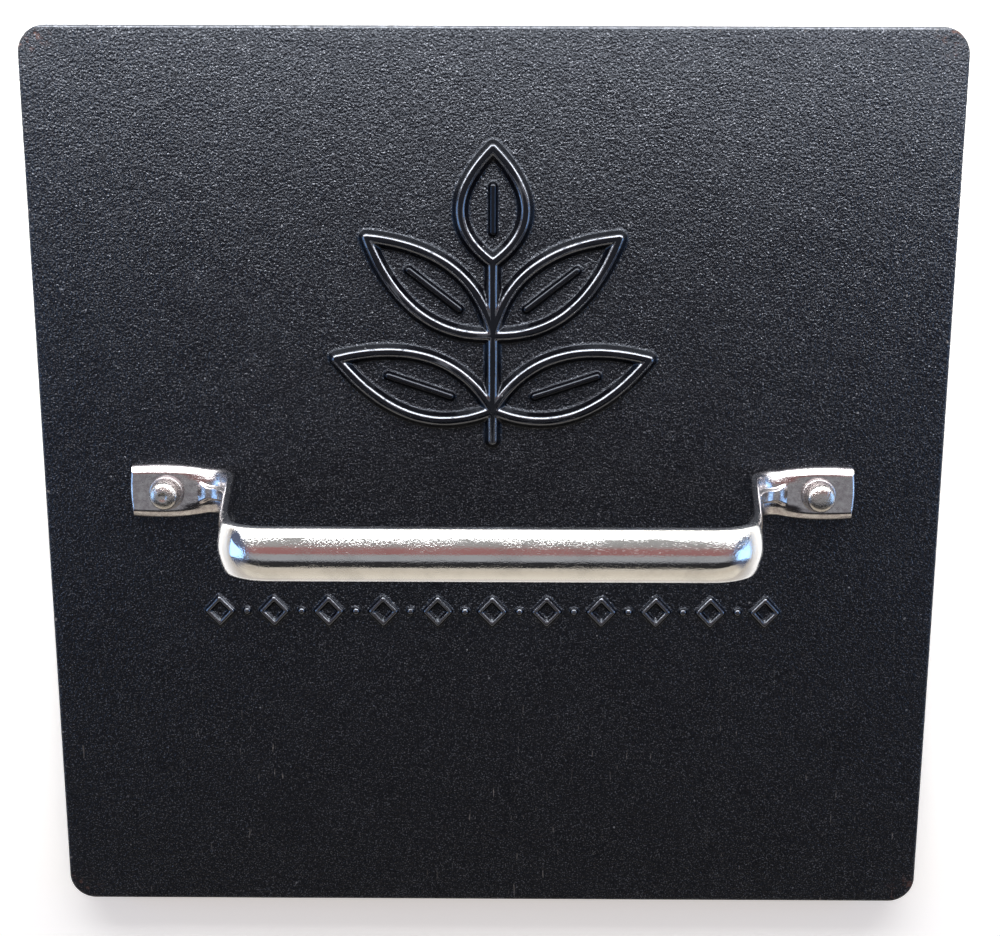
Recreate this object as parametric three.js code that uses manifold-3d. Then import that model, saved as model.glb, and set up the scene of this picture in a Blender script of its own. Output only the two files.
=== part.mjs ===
// Square cast iron grill press with a riveted bow handle, as a three.js scene graph.
// Millimetres, +Z up. The press lies ridges down, X runs along the handle, and the origin is
// in the middle of the surface it lies on.
import * as THREE from "three";
import { mergeVertices } from "three/addons/utils/BufferGeometryUtils.js";
import Module from "manifold-3d";

const library = await Module();
library.setup();

// ---------------------------------------------------------------- driving dimensions

const PLATE_SIZE = 228.6; // nine inches square
const PLATE_BODY = 5.5; // thickness without the ridges
const PLATE_CORNER = 6.8; // corner radius in plan
const PLATE_ROUND = 1.5; // rounding of the top and bottom edges
const RIDGE_HEIGHT = 2.5;
const RIDGE_WIDTH = 5;
const RIDGE_CREST = 2.6; // flat width left at the tip of a ridge
const RIDGE_MARGIN = 9; // from the plate's side to the end of a ridge
const RIVET_GROOVE = 5; // ridges between the middle one and the groove that holds a rivet

const HANDLE_HEIGHT = 63.2; // grip crown above the plate
const FOOT_HEIGHT = 3; // foot top above the plate
const FOOT_END_X = 91.2; // corners of the foot's free end
const FOOT_END_BOW = 0.6; // how far the free end bows out between them
const FOOT_CORNER_X = 67; // where the foot's and the arm's outer faces would meet
const GRIP_CORNER_X = 59.4; // where the arm's and the grip's outer faces would meet
const FOOT_BEND_RADIUS = 6.2;
const GRIP_BEND_RADIUS = 13;
const FOOT_WIDEST_X = 84;
const FOOT_HALF_WIDTH = 7;
const ARM_HALF_WIDTH = 5.85;
const GRIP_HALF_WIDTH = 6.15;
const SHEET = 1.2; // sheet steel thickness
const RIB_WIDTH = 3.8; // gusset rib pressed up in each foot bend
const RIB_HEIGHT = 1.7;

const RIVET_X = 82.4;
const SHANK_RADIUS = 2.5;
const CLEARANCE = 0.3; // radial, between the shank and its holes
const HEAD_RADIUS = 3.5;
const HEAD_HEIGHT = 4.4;
const HEAD_DOME = 1.5; // height of the domed part of the head
const WASHER_RADIUS = 4.3;
const WASHER_HEIGHT = 1.2;
const TAIL_RADIUS = 4.1; // flat head on the underside
const TAIL_HEIGHT = 1.4;

// Raised ornament: a sprig of leaves above the handle and a band of diamonds below it. A raised
// line has a width at its base, a narrower flat crest, and a height.
const SPRIG_LINE = { base: 5.2, crest: 1.8, height: 2 };
const VEIN_LINE = { base: 3.2, crest: 1, height: 1.3 };
const STEM_FOOT_Y = 13.4;
const STEM_HEAD_Y = 58;
const SPRIG_TOP_Y = 85.6;
const TOP_LEAF_BULGE = 8;
const LEAF_PAIRS = [
  { joint: 21, reach: 39, rise: 13, bulge: 7.6 },
  { joint: 40, reach: 31, rise: 24, bulge: 7 },
];
const LEAF_SHOULDER = 0.42; // share of a leaf's length where it is widest
const VEIN = { start: 0.27, end: 0.67 }; // shares of a leaf's length
const BAND_LINE = { base: 2.4, crest: 0.9, height: 1.1 };
const BAND_Y = -32.1;
const BAND_LENGTH = 150.9;
const DIAMOND_COUNT = 11;
const DIAMOND_WIDTH = 9.6;
const DIAMOND_HEIGHT = 10.3;
const STUD_WIDTH = 3;

// ---------------------------------------------------------------- derived places

const PLATE_TOP = RIDGE_HEIGHT + PLATE_BODY;
const FOOT_TOP = PLATE_TOP + FOOT_HEIGHT;
const GRIP_TOP = PLATE_TOP + HANDLE_HEIGHT;
const WASHER_TOP = FOOT_TOP + WASHER_HEIGHT;
const RIDGE_PITCH = RIVET_X / (RIVET_GROOVE + 0.5);

// Fineness of the curved shapes.
const ROUND_STEPS = 24;
const BEND_STEPS = 6;
const ARM_STEPS = 4;
const LEAF_STEPS = 7;

const SUNK = 0.4; // how far the full width of a raised line or a ridge reaches into the plate
const END_HOLLOW = 0.1; // hollow left under the closed end of a foot

// ---------------------------------------------------------------- materials

const castIron = new THREE.MeshStandardMaterial({ color: 0x17181c, roughness: 0.38, metalness: 0.1 });
const chrome = new THREE.MeshStandardMaterial({ color: 0xd9d7d2, roughness: 0.12, metalness: 1 });
const steel = new THREE.MeshStandardMaterial({ color: 0xc2bfb9, roughness: 0.25, metalness: 1 });

// ---------------------------------------------------------------- solids

const at = (x, y) => new THREE.Vector2(x, y);

// A closed three.js geometry as a solid that can be joined and cut.
function solid(geometry) {
  const bare = geometry.clone();
  bare.deleteAttribute("normal");
  bare.deleteAttribute("uv");
  const merged = mergeVertices(bare);
  return new library.Manifold(new library.Mesh({
    numProp: 3,
    vertProperties: new Float32Array(merged.attributes.position.array),
    triVerts: new Uint32Array(merged.index.array),
  }));
}

function namedMesh(name, body, material) {
  const shape = body.getMesh();
  const geometry = new THREE.BufferGeometry();
  geometry.setAttribute("position", new THREE.BufferAttribute(shape.vertProperties, 3));
  geometry.setIndex(new THREE.BufferAttribute(shape.triVerts, 1));
  const mesh = new THREE.Mesh(geometry, material);
  mesh.name = name;
  return mesh;
}

// An upright round body at x from its (radius, height) profile.
function turned(profile, x) {
  const geometry = new THREE.LatheGeometry(profile.map(([radius, height]) => at(radius, height)), ROUND_STEPS);
  geometry.rotateX(Math.PI / 2);
  geometry.translate(x, 0, 0);
  return solid(geometry);
}

function shankHole(x, bottom, top) {
  const radius = SHANK_RADIUS + CLEARANCE;
  return turned([[0, bottom], [radius, bottom], [radius, top], [0, top]], x);
}

// A rectangle with round corners, centred at (x, 0).
function roundedRectangle(width, height, radius, x) {
  const reachX = width / 2 - radius;
  const reachY = height / 2 - radius;
  const quarter = Math.PI / 2;
  const shape = new THREE.Shape();
  shape.absarc(x + reachX, -reachY, radius, -quarter, 0);
  shape.absarc(x + reachX, reachY, radius, 0, quarter);
  shape.absarc(x - reachX, reachY, radius, quarter, 2 * quarter);
  shape.absarc(x - reachX, -reachY, radius, 2 * quarter, 3 * quarter);
  shape.closePath();
  return shape;
}

// ---------------------------------------------------------------- the plate

function plateBody() {
  const outline = roundedRectangle(PLATE_SIZE, PLATE_SIZE, PLATE_CORNER, 0);
  const geometry = new THREE.ExtrudeGeometry(outline, {
    depth: PLATE_BODY - 2 * PLATE_ROUND,
    bevelThickness: PLATE_ROUND,
    bevelSize: PLATE_ROUND,
    bevelOffset: -PLATE_ROUND,
    bevelSegments: 3,
    curveSegments: 6,
  });
  geometry.translate(0, 0, RIDGE_HEIGHT + PLATE_ROUND);
  return solid(geometry);
}

// An outline at its full width from z to z + SUNK, sloping in above and below to a flat crest.
// One of the two slopes stands out of the plate and the other is lost inside it.
function tapered(outline, { base, crest, height }, z) {
  const slope = (base - crest) / 2;
  const geometry = new THREE.ExtrudeGeometry(outline, {
    depth: SUNK,
    bevelThickness: height,
    bevelSize: slope,
    bevelOffset: -slope,
    bevelSegments: 1,
    curveSegments: 4,
  });
  geometry.translate(0, 0, z);
  return solid(geometry);
}

function raised(outline, line) {
  return tapered(outline, line, PLATE_TOP - SUNK);
}

// The cooking ridges on the underside, one of them in the middle.
function ridges() {
  const line = { base: RIDGE_WIDTH, crest: RIDGE_CREST, height: RIDGE_HEIGHT };
  const length = PLATE_SIZE - 2 * RIDGE_MARGIN;
  const toEachSide = Math.floor(length / 2 / RIDGE_PITCH);
  const bodies = [];
  for (let i = -toEachSide; i <= toEachSide; i += 1) {
    const outline = roundedRectangle(RIDGE_WIDTH, length, RIDGE_WIDTH / 2 - 0.1, i * RIDGE_PITCH);
    bodies.push(tapered(outline, line, RIDGE_HEIGHT));
  }
  return bodies;
}

// A raised line's outline in plan: a curve thickened to both sides, with round ends.
function strokeOutline(curve, width, steps) {
  const half = width / 2;
  const sideOf = (side) => Array.from({ length: steps + 1 }, (unused, i) => {
    const tangent = curve.getTangent(i / steps);
    return curve.getPoint(i / steps).addScaledVector(at(-tangent.y, tangent.x), side * half);
  });
  const roundEnd = (share, turnedBack) => [-45, 0, 45].map((degrees) => {
    const heading = curve.getTangent(share).angle() + turnedBack + THREE.MathUtils.degToRad(degrees);
    return curve.getPoint(share).addScaledVector(at(Math.cos(heading), Math.sin(heading)), half);
  });
  return new THREE.Shape([...sideOf(-1), ...roundEnd(1, 0), ...sideOf(1).reverse(), ...roundEnd(0, Math.PI)]);
}

function sprigLine(curve, steps, line = SPRIG_LINE) {
  return raised(strokeOutline(curve, line.base, steps), line);
}

// One leaf: two bowed edges from its base to its tip, and a vein between them.
function leaf(base, tip, bulge) {
  const along = tip.clone().sub(base);
  const across = at(-along.y, along.x).normalize();
  const shareAlong = (share) => base.clone().addScaledVector(along, share);
  const edge = (side) => {
    const control = shareAlong(LEAF_SHOULDER).addScaledVector(across, side * 2 * bulge);
    return new THREE.QuadraticBezierCurve(base, control, tip);
  };
  const vein = new THREE.LineCurve(shareAlong(VEIN.start), shareAlong(VEIN.end));
  return [sprigLine(edge(1), LEAF_STEPS), sprigLine(edge(-1), LEAF_STEPS), sprigLine(vein, 1, VEIN_LINE)];
}

// A plain sprig with opposite leaves, mirrored about the plate's middle line.
function sprig() {
  const stem = new THREE.LineCurve(at(0, STEM_FOOT_Y), at(0, STEM_HEAD_Y));
  const bodies = [sprigLine(stem, 1), ...leaf(at(0, STEM_HEAD_Y), at(0, SPRIG_TOP_Y), TOP_LEAF_BULGE)];
  for (const { joint, reach, rise, bulge } of LEAF_PAIRS) {
    for (const side of [-1, 1]) {
      bodies.push(...leaf(at(0, joint), at(side * reach, joint + rise), bulge));
    }
  }
  return bodies;
}

// One raised diamond outline. Its line keeps the same width all round.
function diamond(x) {
  const corners = (scale) => [
    at(x + (scale * DIAMOND_WIDTH) / 2, BAND_Y),
    at(x, BAND_Y + (scale * DIAMOND_HEIGHT) / 2),
    at(x - (scale * DIAMOND_WIDTH) / 2, BAND_Y),
    at(x, BAND_Y - (scale * DIAMOND_HEIGHT) / 2),
  ];
  const middleToSide = (DIAMOND_WIDTH * DIAMOND_HEIGHT) / 2 / Math.hypot(DIAMOND_WIDTH, DIAMOND_HEIGHT);
  const outline = new THREE.Shape(corners(1));
  outline.holes.push(new THREE.Path(corners(1 - BAND_LINE.base / middleToSide)));
  return raised(outline, BAND_LINE);
}

function stud(x) {
  const outline = new THREE.Shape();
  outline.absarc(x, BAND_Y, STUD_WIDTH / 2, 0, 2 * Math.PI);
  return raised(outline, BAND_LINE);
}

// A row of diamonds with a stud between each two.
function band() {
  const firstX = (DIAMOND_WIDTH - BAND_LENGTH) / 2;
  const pitch = (BAND_LENGTH - DIAMOND_WIDTH) / (DIAMOND_COUNT - 1);
  const bodies = [diamond(firstX)];
  for (let i = 1; i < DIAMOND_COUNT; i += 1) {
    bodies.push(stud(firstX + (i - 0.5) * pitch), diamond(firstX + i * pitch));
  }
  return bodies;
}

function pressPlate() {
  let body = plateBody();
  for (const piece of [...ridges(), ...sprig(), ...band()]) {
    body = body.add(piece);
  }
  for (const x of [-RIVET_X, RIVET_X]) {
    body = body.subtract(shankHole(x, -1, PLATE_TOP + 1));
  }
  return body;
}

// ---------------------------------------------------------------- the handle

// The sheet's cross sections, from the middle of its outer face to one long edge. Each shoulder
// point is a share of the half width and a drop below the middle. The edges turn down to depth.
const FOOT_SECTION = { shoulders: [[0.35, 0], [0.7, 0.02], [1, 1.6]], depth: FOOT_HEIGHT };
const ARM_SECTION = { shoulders: [[0.38, 0.03], [0.78, 0.12], [1, 0.6]], depth: 2.1 };
const GRIP_SECTION = { shoulders: [[0.4, 0.62], [0.8, 2.1], [1, 3.7]], depth: 5.6 };

// How far the arm's section has turned into the grip's where the grip bend begins, and how late.
const ARM_TOP_BLEND = 0.4;
const ARM_BLEND_POWER = 8;

function blendSections(from, to, share) {
  const mix = THREE.MathUtils.lerp;
  return {
    shoulders: from.shoulders.map(([width, drop], i) => [
      mix(width, to.shoulders[i][0], share),
      mix(drop, to.shoulders[i][1], share),
    ]),
    depth: mix(from.depth, to.depth, share),
  };
}

// Half the foot's width at x: widest near the rivet, a little less at the free end, and narrowed
// to the arm's width at the start of the bend.
function footHalfWidth(x, bendX) {
  const far = x > FOOT_WIDEST_X;
  const reach = far ? FOOT_END_X - FOOT_WIDEST_X : FOOT_WIDEST_X - bendX;
  const loss = far ? 0.3 : FOOT_HALF_WIDTH - ARM_HALF_WIDTH;
  return FOOT_HALF_WIDTH - loss * ((x - FOOT_WIDEST_X) / reach) ** 2;
}

// Stations along the sheet's outer face in the XZ plane, from the free end of the right foot to
// the middle of the grip. lean is how far the sheet has turned up from level.
function rightHalfStations() {
  const footCorner = at(FOOT_CORNER_X, FOOT_TOP);
  const gripCorner = at(GRIP_CORNER_X, GRIP_TOP);
  const arm = gripCorner.clone().sub(footCorner).normalize();
  const turn = Math.acos(-arm.x);
  const footRun = FOOT_BEND_RADIUS * Math.tan(turn / 2);
  const gripRun = GRIP_BEND_RADIUS * Math.tan(turn / 2);
  const footBendX = FOOT_CORNER_X + footRun;
  const gripBendX = GRIP_CORNER_X - gripRun;
  const stations = [];

  // The foot. Under its free end the hollow is closed.
  for (const [x, closed, bow] of [[FOOT_END_X, true, FOOT_END_BOW], [90, true, 0], [89.6, false, 0],
    [86.5, false, 0], [82.4, false, 0], [78.5, false, 0], [75.5, false, 0]]) {
    const halfWidth = footHalfWidth(x, footBendX);
    stations.push({ x, z: FOOT_TOP, lean: 0, halfWidth, section: FOOT_SECTION, closed, bow });
  }
  for (let i = 0; i <= BEND_STEPS; i += 1) {
    const share = i / BEND_STEPS;
    const lean = turn * share;
    stations.push({
      x: footBendX - FOOT_BEND_RADIUS * Math.sin(lean),
      z: FOOT_TOP + FOOT_BEND_RADIUS * (1 - Math.cos(lean)),
      lean,
      halfWidth: ARM_HALF_WIDTH,
      section: blendSections(FOOT_SECTION, ARM_SECTION, share),
    });
  }
  const armStart = footCorner.clone().addScaledVector(arm, footRun);
  const armEnd = gripCorner.clone().addScaledVector(arm, -gripRun);
  for (let i = 1; i < ARM_STEPS; i += 1) {
    const share = i / ARM_STEPS;
    const place = armStart.clone().lerp(armEnd, share);
    stations.push({
      x: place.x,
      z: place.y,
      lean: turn,
      halfWidth: THREE.MathUtils.lerp(ARM_HALF_WIDTH, GRIP_HALF_WIDTH, share),
      section: blendSections(ARM_SECTION, GRIP_SECTION, ARM_TOP_BLEND * share ** ARM_BLEND_POWER),
    });
  }
  for (let i = 0; i <= BEND_STEPS; i += 1) {
    const share = i / BEND_STEPS;
    const lean = turn * (1 - share);
    const blend = THREE.MathUtils.lerp(ARM_TOP_BLEND, 1, THREE.MathUtils.smoothstep(share, 0, 1));
    stations.push({
      x: gripBendX + GRIP_BEND_RADIUS * Math.sin(lean),
      z: GRIP_TOP - GRIP_BEND_RADIUS * (1 - Math.cos(lean)),
      lean,
      halfWidth: GRIP_HALF_WIDTH,
      section: blendSections(ARM_SECTION, GRIP_SECTION, blend),
    });
  }
  return stations;
}

// One station's closed ring of points: the outer face from -Y to +Y, then the inner face back.
function ringOf({ x, z, lean, halfWidth, section, closed, bow = 0, side }) {
  const { shoulders, depth } = section;
  const innerHalf = halfWidth - SHEET;
  const innerDrop = (drop) => (closed ? depth - END_HOLLOW : drop + SHEET);
  const outer = [[0, 0], ...shoulders.map(([share, drop]) => [share * halfWidth, drop]), [halfWidth, depth]];
  const inner = [
    [0, innerDrop(0)],
    ...shoulders.map(([share, drop]) => [share * innerHalf, innerDrop(drop)]),
    [innerHalf, depth],
  ];
  const bothSides = (points) => [
    ...points.slice(1).reverse().map(([y, drop]) => [-y, drop]),
    ...points,
  ];
  return [...bothSides(outer), ...bothSides(inner).reverse()].map(([y, drop]) => {
    const bowed = x + bow * (1 - (y / halfWidth) ** 2);
    return [side * (bowed - drop * Math.sin(lean)), y, z - drop * Math.cos(lean)];
  });
}

// Skin a closed solid over rings with equal numbers of points, each ring an outer face followed
// by an inner face, so that an end is closed by a strip between the two.
function loft(rings) {
  const count = rings[0].length;
  const index = [];
  for (let i = 0; i + 1 < rings.length; i += 1) {
    for (let j = 0; j < count; j += 1) {
      const here = i * count + j;
      const next = i * count + ((j + 1) % count);
      index.push(here, next, here + count, next, next + count, here + count);
    }
  }
  const lastRing = (rings.length - 1) * count;
  for (let j = 0; j + 1 < count / 2; j += 1) {
    const opposite = count - 1 - j;
    index.push(j, opposite, j + 1, j + 1, opposite, opposite - 1);
    const [a, b, c, d] = [j, j + 1, opposite, opposite - 1].map((point) => lastRing + point);
    index.push(a, b, c, b, d, c);
  }
  const geometry = new THREE.BufferGeometry();
  geometry.setAttribute("position", new THREE.Float32BufferAttribute(rings.flat(2), 3));
  geometry.setIndex(index);
  return solid(geometry);
}

// The gusset rib in one foot bend: a strip whose outer edge stands proud of the sheet's outer
// face and whose inner edge lies within the sheet.
function gussetRib(stations, side) {
  const first = stations.findIndex(({ lean }) => lean > 0) - 2;
  const bend = stations.slice(first, first + BEND_STEPS + 4);
  const offset = ({ x, z, lean }, distance) => at(
    side * (x + distance * Math.sin(lean)),
    z + distance * Math.cos(lean),
  );
  const swell = (i) => RIB_HEIGHT * Math.sin((Math.PI * i) / (bend.length - 1));
  const outerEdge = bend.map((station, i) => offset(station, swell(i)));
  const innerEdge = bend.map((station) => offset(station, -SHEET / 2)).reverse();
  const geometry = new THREE.ExtrudeGeometry(new THREE.Shape([...outerEdge, ...innerEdge]), {
    depth: RIB_WIDTH,
    bevelEnabled: false,
  });
  geometry.rotateX(Math.PI / 2);
  geometry.translate(0, RIB_WIDTH / 2, 0);
  return solid(geometry);
}

function handle() {
  const half = rightHalfStations();
  const stations = [
    ...half.map((station) => ({ ...station, side: 1 })),
    { ...half.at(-1), x: 0, side: 1 },
    ...half.map((station) => ({ ...station, side: -1 })).reverse(),
  ];
  let body = loft(stations.map(ringOf));
  for (const side of [-1, 1]) {
    body = body.add(gussetRib(half, side));
    body = body.subtract(shankHole(side * RIVET_X, PLATE_TOP - 1, FOOT_TOP + 1));
  }
  return body;
}

// ---------------------------------------------------------------- the fasteners

function rivet(x) {
  const headTop = WASHER_TOP + HEAD_HEIGHT;
  const shoulder = headTop - HEAD_DOME;
  return turned([
    [0, RIDGE_HEIGHT - TAIL_HEIGHT],
    [TAIL_RADIUS, RIDGE_HEIGHT - TAIL_HEIGHT],
    [TAIL_RADIUS, RIDGE_HEIGHT],
    [SHANK_RADIUS, RIDGE_HEIGHT],
    [SHANK_RADIUS, WASHER_TOP],
    [HEAD_RADIUS, WASHER_TOP],
    [HEAD_RADIUS, shoulder],
    [HEAD_RADIUS * 0.92, shoulder + HEAD_DOME * 0.45],
    [HEAD_RADIUS * 0.62, shoulder + HEAD_DOME * 0.85],
    [0, headTop],
  ], x);
}

function washer(x) {
  const hole = SHANK_RADIUS + CLEARANCE;
  const chamfer = 0.35;
  return turned([
    [hole, FOOT_TOP],
    [WASHER_RADIUS, FOOT_TOP],
    [WASHER_RADIUS, WASHER_TOP - chamfer],
    [WASHER_RADIUS - chamfer, WASHER_TOP],
    [hole, WASHER_TOP],
    [hole, FOOT_TOP],
  ], x);
}

// ---------------------------------------------------------------- the press

const press = new THREE.Group();
press.add(namedMesh("press_plate", pressPlate(), castIron));
press.add(namedMesh("handle", handle(), chrome));
for (const [sideName, side] of [["left", -1], ["right", 1]]) {
  press.add(namedMesh(`washer_${sideName}`, washer(side * RIVET_X), steel));
  press.add(namedMesh(`rivet_${sideName}`, rivet(side * RIVET_X), steel));
}

export default press;
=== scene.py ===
"""Looks of a square cast iron grill press with a riveted, chromed bow handle.

Lengths are millimetres in the constants and in the shape code. They become metres where a mesh is
made, and in the materials through MM. X runs along the handle and +Z is up.
"""

import math

import bmesh
import bpy
import numpy as np
from mathutils import Matrix, Vector


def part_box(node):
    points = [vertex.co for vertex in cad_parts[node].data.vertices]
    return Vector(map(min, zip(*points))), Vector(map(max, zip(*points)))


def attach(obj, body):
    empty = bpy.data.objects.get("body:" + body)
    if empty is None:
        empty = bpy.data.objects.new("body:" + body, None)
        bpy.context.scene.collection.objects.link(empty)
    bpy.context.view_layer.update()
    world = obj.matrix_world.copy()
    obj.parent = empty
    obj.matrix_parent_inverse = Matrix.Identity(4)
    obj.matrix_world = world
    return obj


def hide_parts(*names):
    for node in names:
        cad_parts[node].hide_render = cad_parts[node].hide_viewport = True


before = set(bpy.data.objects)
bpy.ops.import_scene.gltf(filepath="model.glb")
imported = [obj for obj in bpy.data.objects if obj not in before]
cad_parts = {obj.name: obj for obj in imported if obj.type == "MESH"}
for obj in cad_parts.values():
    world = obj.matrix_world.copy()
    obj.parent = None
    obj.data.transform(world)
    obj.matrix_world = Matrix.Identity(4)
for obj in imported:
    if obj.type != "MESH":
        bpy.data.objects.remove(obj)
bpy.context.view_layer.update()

MM = 0.001
BODY = "root"


def node_box(node):
    """A CAD node's lowest and highest corners in millimetres."""
    low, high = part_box(node)
    return np.array(low) / MM, np.array(high) / MM


# ---------------------------------------------------------------- sizes

PLATE_HIGH = node_box("press_plate")[1]
HANDLE_LOW, HANDLE_HIGH = node_box("handle")
WASHER_LOW, WASHER_HIGH = node_box("washer_right")
RIVET_LOW, RIVET_HIGH = node_box("rivet_right")

PLATE_TOP = float(HANDLE_LOW[2])
PLATE_HALF = float(PLATE_HIGH[0])
PLATE_CORNER = 6.8
PLATE_ROUND = 0.9
RIDGE_HEIGHT = 2.5
RIDGE_WIDTH = 5.0
RIDGE_CREST = 2.6
RIDGE_MARGIN = 9.0
RIVET_GROOVE = 5

FOOT_HEIGHT = 3.0
FOOT_END_X = 91.2
FOOT_END_BOW = 0.6
FOOT_CORNER_X = 67.0
GRIP_CORNER_X = 59.4
FOOT_BEND_RADIUS = 6.2
GRIP_BEND_RADIUS = 13.0
FOOT_WIDEST_X = 84.0
FOOT_HALF_WIDTH = 7.0
ARM_HALF_WIDTH = 5.85
GRIP_HALF_WIDTH = 6.15
SHEET = 1.2
RIB_HEIGHT = 1.7
RIB_HALF_WIDTH = 1.9

RIVET_X = float(RIVET_LOW[0] + RIVET_HIGH[0]) / 2
SHANK_RADIUS = 2.5
HEAD_RADIUS = 3.5
HEAD_DOME = 1.5
HEAD_FOOT_ROUND = 0.25
HEAD_NECK = 1.2
HEAD_SHOULDER = 0.4
DOME_POWER = 0.85
TAIL_HEIGHT = 1.4
TAIL_ROUND = 0.5
# The ring that the last blow left on a peened head: (radius, depth under the top).
PEEN_EDGE = 1.3
PEEN_RING = ((1.1, 0.12), (0.8, 0.3), (0.4, 0.36), (0, 0.36))
HOLE_CLEARANCE = 0.3
WASHER_FOOT_ROUND = 0.3
WASHER_TOP_ROUND = 0.5

# A raised line: its width at the plate, its height, and the roundings of its crest and its foot.
SPRIG_LINE = {"base": 5.2, "height": 2.0, "edge": 1.1, "foot": 0.8}
VEIN_LINE = {"base": 3.2, "height": 1.3, "edge": 0.6, "foot": 0.4}
BAND_LINE = {"base": 2.4, "height": 1.1, "edge": 0.45, "foot": 0.35}
STUD_LINE = dict(BAND_LINE, base=3.0)
LINE_SLOPE = 55.0
STEM_FOOT_Y = 13.4
STEM_HEAD_Y = 58.0
SPRIG_TOP_Y = 85.6
TOP_LEAF_BULGE = 8.0
LEAF_PAIRS = (
    {"joint": 21.0, "reach": 39.0, "rise": 13.0, "bulge": 7.6},
    {"joint": 40.0, "reach": 31.0, "rise": 24.0, "bulge": 7.0},
)
LEAF_SHOULDER = 0.42
VEIN_START, VEIN_END = 0.27, 0.67
BAND_Y = -32.1
BAND_LENGTH = 150.9
DIAMOND_COUNT = 11
DIAMOND_WIDTH = 9.6
DIAMOND_HEIGHT = 10.3
# How far out the ornament's heights are worked out: the sprig's reach and the two margins.
SPRIG_REACH = 50
SPRIG_MARGIN = 8
BAND_MARGIN = 5

FOOT_TOP = PLATE_TOP + FOOT_HEIGHT
GRIP_TOP = float(HANDLE_HIGH[2])
WASHER_TOP = float(WASHER_HIGH[2])
RIDGE_PITCH = RIVET_X / (RIVET_GROOVE + 0.5)

# Detail that the CAD model leaves out.
CAST_WAVE = 0.02
CAST_WAVES = (  # (waves per millimetre, heading, phase)
    (0.031, 0.9, 0.4), (0.047, 2.3, 1.7), (0.083, 1.2, 4.1), (0.12, 2.9, 2.2),
)
FOOT_END_LOSS = 0.3
FOOT_END_FADE = 2.2
FOOT_END_WALL = 1.3
FOOT_ROLL = 0.9
PINCH_START_X = 80.5
ARM_DEPTH = 2.1
GRIP_DEPTH = 5.6
ARM_TOP_BLEND = 0.4
ARM_BLEND_POWER = 8
RIB_FLANK = 1.0
RIB_REACH = 6.6
RIB_FALL = 0.8
RIB_FLARE = 1.2
RIB_FLARE_START = 0.45
RIB_MIDDLE_LEAN = 0.7
END_HOLLOW = 0.1

FLOOR_SIZE = 6000.0

# The room's light by tilt from the zenith, in degrees towards +Y.
ROOM_BANDS = (
    (-90, (0.86, 0.80, 0.70)),
    (-72, (0.66, 0.59, 0.50)),
    (-58.5, (0.60, 0.56, 0.50)),
    (-57.5, (0.03, 0.03, 0.03)),
    (-28, (0.03, 0.03, 0.035)),
    (-20, (0.36, 0.37, 0.40)),
    (10, (0.36, 0.36, 0.37)),
    (15, (0.34, 0.16, 0.16)),
    (33, (0.36, 0.18, 0.18)),
    (39, (0.36, 0.35, 0.35)),
    (59, (0.48, 0.48, 0.48)),
    (65, (0.90, 0.90, 0.90)),
    (90, (0.90, 0.90, 0.90)),
)
ROOM_ENDS = (0.12, 0.14, 0.22, 1)

# Fineness of the meshes. The top is a grid of cells, divided up to so many times.
TOP_CELLS = 104
TOP_LEVELS = 3
CELL_REACH = 0.7
UNDERSIDE_CELL = 0.8
UNDERSIDE_LONG_CELL = 8
UNDERSIDE_END = 12
CURVE_STEPS = 28
ROUNDING_STEPS = 8
DOME_STEPS = 14
TURNED_STEPS = 72
EDGE_STEPS = 8
SECTION_STEPS = 44
LIP_STEPS = 6
ROLL_STEPS = 6
FOOT_STEPS = 44
BEND_STEPS = 26
ARM_STEPS = 24
GRIP_STEPS = 24


# ---------------------------------------------------------------- meshes

def make_object(name, points, faces, material):
    """A smooth-shaded mesh object from points in millimetres."""
    mesh = bpy.data.meshes.new(name)
    metres = (np.asarray(points, float) * MM).tolist()
    mesh.from_pydata(metres, [], [tuple(map(int, face)) for face in faces])
    mesh.materials.append(material)
    mesh.validate()
    made = bmesh.new()
    made.from_mesh(mesh)
    bmesh.ops.recalc_face_normals(made, faces=made.faces)
    made.to_mesh(mesh)
    made.free()
    mesh.shade_smooth()
    piece = bpy.data.objects.new(name, mesh)
    bpy.context.scene.collection.objects.link(piece)
    return piece


def stand_for(piece, node):
    """The piece moves with the press and stands for its CAD node, which it hides."""
    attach(piece, BODY)
    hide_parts(node)


def smooth(share):
    """A share from 0 to 1, eased in and out."""
    share = np.clip(share, 0.0, 1.0)
    return share * share * (3 - 2 * share)


# ---------------------------------------------------------------- the raised ornament

def bezier(start, control, end):
    share = np.linspace(0, 1, CURVE_STEPS + 1)[:, None]
    return (1 - share) ** 2 * start + 2 * share * (1 - share) * control + share ** 2 * end


def leaf_lines(base, tip, bulge):
    """The middle lines of one leaf: its two bowed edges, and its vein."""
    base, tip = np.array(base, float), np.array(tip, float)
    along = tip - base
    across = np.array([-along[1], along[0]]) / np.hypot(*along)
    shoulder = base + along * LEAF_SHOULDER
    edges = [bezier(base, shoulder + across * side * 2 * bulge, tip) for side in (1, -1)]
    return edges, np.array([base + along * VEIN_START, base + along * VEIN_END])


def sprig_lines():
    """The middle lines of the stem and the leaves' edges, and those of the veins."""
    outlines, vein = leaf_lines((0, STEM_HEAD_Y), (0, SPRIG_TOP_Y), TOP_LEAF_BULGE)
    outlines.append(np.array([[0, STEM_FOOT_Y], [0, STEM_HEAD_Y]], float))
    veins = [vein]
    for pair in LEAF_PAIRS:
        for side in (-1, 1):
            tip = (side * pair["reach"], pair["joint"] + pair["rise"])
            edges, vein = leaf_lines((0, pair["joint"]), tip, pair["bulge"])
            outlines += edges
            veins.append(vein)
    return outlines, veins


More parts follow.
